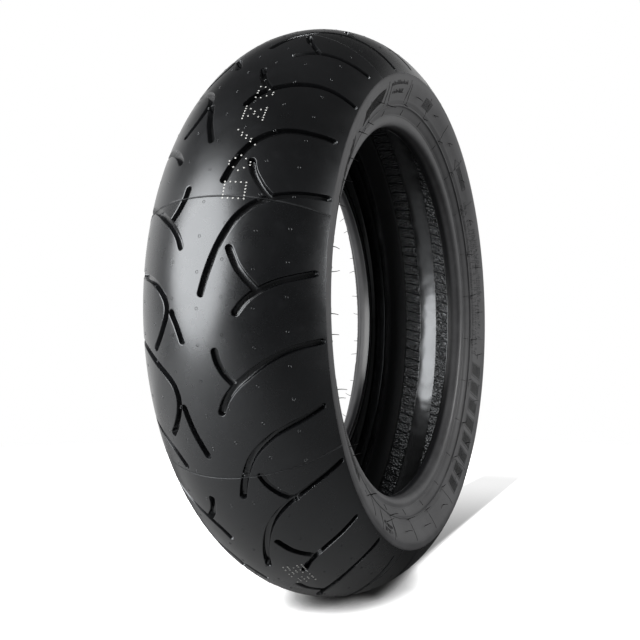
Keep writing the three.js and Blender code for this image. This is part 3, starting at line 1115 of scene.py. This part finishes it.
class StageSizes(bpy.types.PropertyGroup):
    """Camera, light and floor"""

    lens: FloatProperty(
        name="Lens", description="Focal length on a 36 mm sensor", default=47.54, min=10, max=200)
    key_power: lamp_power("Key power", "The large lamp before the tread", default=50)
    fill_power: lamp_power("Fill power", "The lamp beside the photographed sidewall", default=39)
    room: FloatProperty(
        name="Room", description="Brightness of the room in front of the tire, as its gloss shows it",
        default=0.05, min=0, max=1)
    ambient: FloatProperty(
        name="Ambient", description="Light from all round", default=0.25, min=0, max=2)


def finish_material(slot):
    """The finish of a slot, made once."""
    name = f"{slot}_finish"
    if name in bpy.data.materials:
        return bpy.data.materials[name]
    material, graph = new_material(name)
    finishes = bpy.context.scene.tire_finishes
    makers = {
        "tread_rubber": (tread_rubber, finishes.tread),
        "sidewall_rubber": (sidewall_rubber, finishes.side),
        "liner_rubber": (liner_rubber, finishes.liner),
        "inner_rubber": (inner_rubber, finishes.plain),
        "cord_fabric": (cord, finishes.cord),
        "bead_wire": (wire, finishes.wire),
        "marking_paint": (paint, finishes.paint),
    }
    maker, rgb = makers[slot]
    maker(graph, rgb)
    return material


# The operators, one for each piece or group of like pieces.
class TIRE_OT_stage(bpy.types.Operator):
    """Add the floor, the lamps, the world and the camera"""

    bl_idname = "tire.stage"
    bl_label = "Stage"

    def execute(self, context):
        sizes = context.scene.tire_stage
        make_camera(sizes)
        make_lamps(sizes)
        make_floor()
        make_world(sizes)
        return {"FINISHED"}


def aim(thing, place, target):
    thing.location = place
    thing.rotation_euler = (Vector(target) - Vector(place)).to_track_quat("-Z", "Y").to_euler()


CAMERA_PLACE = Vector((0.8873, 0.3915, -0.0444))
CAMERA_YAW = math.radians(-64.30) + math.pi
CAMERA_RISE = math.radians(2.16)
SENSOR_WIDTH = 36


def make_camera(sizes):
    deselect()
    bpy.ops.object.camera_add(location=CAMERA_PLACE)
    camera = bpy.context.object
    camera.name = "camera"
    camera.rotation_euler = (math.pi / 2 + CAMERA_RISE, 0, CAMERA_YAW)
    camera.data.lens = sizes.lens
    camera.data.sensor_width = SENSOR_WIDTH
    camera.data.clip_start = 0.01
    bpy.context.scene.camera = camera


def make_lamp(name, place, target, width, height, power):
    deselect()
    bpy.ops.object.light_add(type="AREA")
    lamp = bpy.context.object
    lamp.name = name
    lamp.data.shape = "ELLIPSE"
    lamp.data.size = width
    lamp.data.size_y = height
    lamp.data.energy = power
    aim(lamp, place, target)


def make_lamps(sizes):
    """A large lamp before the tread, and one beside the photographed sidewall."""
    make_lamp("key_lamp", (1.39, -0.7, 0.44), (0.29, -0.05, 0.1), 1.62, 1.6, sizes.key_power)
    make_lamp("fill_lamp", (-0.85, 2.05, 0.46), (-0.1, 0.09, 0), 0.95, 0.6, sizes.fill_power)


FLOOR_SIZE = 60


def make_floor():
    """A floor that the camera sees white, with the lamps' shadows and painted ones at the tire, and that
    ends in the backdrop.
    """
    deselect()
    bpy.ops.mesh.primitive_plane_add(size=FLOOR_SIZE, location=(0, 0, -TIRE_RADIUS))
    floor = bpy.context.object
    floor.name = floor.data.name = "floor"
    material, graph = new_material("floor")
    x, y = graph.axis("X"), graph.axis("Y")
    away = (x * x + y * y).math("SQRT").step(0.75, 1.7)
    camera, glossy, through = graph.rays()
    mirrored = (glossy + through).clamp()
    # What lights and mirrors in the tire: a grey floor, darker at the photographed side and beyond it.
    beyond = (1 - x.step(-0.06, 0.12)) * y.step(-0.9, -0.4)
    grey = (0.5 - y.step(-0.5, 0.5) * 0.4) * (1 - beyond * 0.75)
    plain = graph.node("ShaderNodeBsdfDiffuse", {}, Color=grey)
    # What the camera sees: white, with a painted shadow at the contact, from ambient occlusion, and a
    # painted long shadow that falls back behind the tire.
    painted_contact_shade = graph.node("ShaderNodeAmbientOcclusion", {"samples": 8}, output="AO", Distance=0.03)
    painted_cast_shadow = (1 - (y - x * 0.05).step(0.034, 0.056)) * y.step(-0.13, -0.08) * (1 - x.step(0.01, 0.05))
    painted_cast_shadow = painted_cast_shadow * (x.step(-1.4, -0.86) * 0.735 + x.step(-0.86, -0.3) * 0.145)
    floor_with_painted_shadows = graph.node("ShaderNodeBsdfDiffuse", {}, Color=painted_contact_shade * (1 - painted_cast_shadow) * 3.4)
    white = graph.node("ShaderNodeEmission", {}, Color=(1, 1, 1, 1), Strength=1.0)
    seen = graph.node("ShaderNodeMixShader", {}, camera, plain, floor_with_painted_shadows)
    backdrop = away * (camera + mirrored * graph.behind(x, y, 0.5)).clamp()
    graph.surface(graph.node("ShaderNodeMixShader", {}, backdrop, seen, white))
    floor.data.materials.append(material)


def make_world(sizes):
    """A white backdrop behind the tire, and a dim room in front of it."""
    world = bpy.data.worlds.new("studio")
    world.use_nodes = True
    bpy.context.scene.world = world
    graph = Graph(world.node_tree, "Generated")
    x, y, z = (graph.axis(name) for name in "XYZ")
    behind = graph.behind(x, y, 0.6) * (1 - z.step(0.3, 0.7))
    camera, glossy, through = graph.rays()
    mirrored = (glossy + through).clamp() * (sizes.room + behind * (1 - sizes.room))
    above = z.step(0.2, 1.0)
    diffuse = (1 - (camera + glossy + through).clamp()) * (above * 3 + 0.4) * sizes.ambient
    strength = camera + mirrored + diffuse
    light = graph.node("ShaderNodeBackground", {}, Color=(1, 1, 1, 1), Strength=strength)
    graph.surface(light, "ShaderNodeOutputWorld")


class TIRE_OT_tread(bpy.types.Operator):
    """Add the grooved tread, its vent rings, mould lines and paint dots"""

    bl_idname = "tire.tread"
    bl_label = "Tread"

    def execute(self, context):
        sizes = context.scene.tire_tread
        dress(make_tread(sizes), "tread_rubber", "tread_cap")
        dress(make_vent_rings(sizes), "tread_rubber")
        dress(make_mould_lines(), "tread_rubber")
        dress(make_paint_dots(), "marking_paint")
        return {"FINISHED"}


class TIRE_OT_sidewalls(bpy.types.Operator):
    """Add the two sidewalls with their raised marks and hairs"""

    bl_idname = "tire.sidewalls"
    bl_label = "Sidewalls"

    def execute(self, context):
        sizes = context.scene.tire_side
        for side, hand in ((1, "left"), (-1, "right")):
            dress(make_sidewall(side, f"{hand}_side"), "sidewall_rubber", f"{hand}_sidewall")
            dress(make_side_marks(side, f"{hand}_marks", sizes), "sidewall_rubber")
            # The hatching and the hairs take the dark plain rubber, as painted shade of their fine relief.
            dress(make_side_hatching(side, f"{hand}_hatching", sizes), "inner_rubber")
            dress(make_hairs(side, f"{hand}_hairs", sizes), "inner_rubber")
        return {"FINISHED"}


class TIRE_OT_beads(bpy.types.Operator):
    """Add the rim strips, the chafers and the toe lips of both beads"""

    bl_idname = "tire.beads"
    bl_label = "Beads"

    def execute(self, context):
        sizes = context.scene.tire_side
        for side, hand in ((1, "left"), (-1, "right")):
            strip = make_rim_strip(side, f"{hand}_bead_strip", sizes)
            dress(strip, "sidewall_rubber", f"{hand}_rim_strip")
            chafer = make_chafer(side, f"{hand}_bead_cloth")
            dress(chafer, "liner_rubber", f"{hand}_chafer")
            dress(make_toe_flash(side, f"{hand}_toe_flash"), "liner_rubber")
        return {"FINISHED"}


class TIRE_OT_lining(bpy.types.Operator):
    """Add the inner lining and its two bands of ribs"""

    bl_idname = "tire.lining"
    bl_label = "Lining"

    def execute(self, context):
        dress(make_liner(), "liner_rubber", "inner_liner")
        dress(make_liner_ribs(), "tread_rubber")
        return {"FINISHED"}


class TIRE_OT_layers(bpy.types.Operator):
    """Give every solid of the frame the finish of its slot"""

    bl_idname = "tire.layers"
    bl_label = "Layers"

    def execute(self, context):
        for part in frame["record"]["subparts"]:
            node = frame["nodes"][part["node"]]
            node.data.materials.clear()
            node.data.materials.append(finish_material(part["material_slot"]))
        return {"FINISHED"}


OPERATORS = (TIRE_OT_stage, TIRE_OT_tread, TIRE_OT_sidewalls, TIRE_OT_beads, TIRE_OT_lining, TIRE_OT_layers)


class TIRE_PT_panel(bpy.types.Panel):
    """Sizes and colours of the tire, and the operators that make it"""

    bl_idname = "TIRE_PT_panel"
    bl_label = "Tire"
    bl_space_type = "VIEW_3D"
    bl_region_type = "UI"
    bl_category = "Tire"

    def draw(self, context):
        for group in GROUPS:
            box = self.layout.box()
            settings = getattr(context.scene, group)
            for name in settings.bl_rna.properties.keys():
                if name not in ("rna_type", "name"):
                    box.prop(settings, name)
        for operator in OPERATORS:
            self.layout.operator(operator.bl_idname)


GROUPS = {
    "tire_tread": TreadSizes,
    "tire_side": SideSizes,
    "tire_finishes": Finishes,
    "tire_stage": StageSizes,
}
CLASSES = (*GROUPS.values(), *OPERATORS, TIRE_PT_panel)


def register():
    for cls in CLASSES:
        bpy.utils.register_class(cls)
    for name, group in GROUPS.items():
        setattr(bpy.types.Scene, name, PointerProperty(type=group))


def unregister():
    for name in GROUPS:
        delattr(bpy.types.Scene, name)
    for cls in reversed(CLASSES):
        bpy.utils.unregister_class(cls)


def main():
    register()
    bpy.context.scene.view_settings.view_transform = "Standard"
    bpy.ops.tire.stage()
    bpy.ops.tire.tread()
    bpy.ops.tire.sidewalls()
    bpy.ops.tire.beads()
    bpy.ops.tire.lining()
    bpy.ops.tire.layers()


if __name__ == "__main__":
    main()
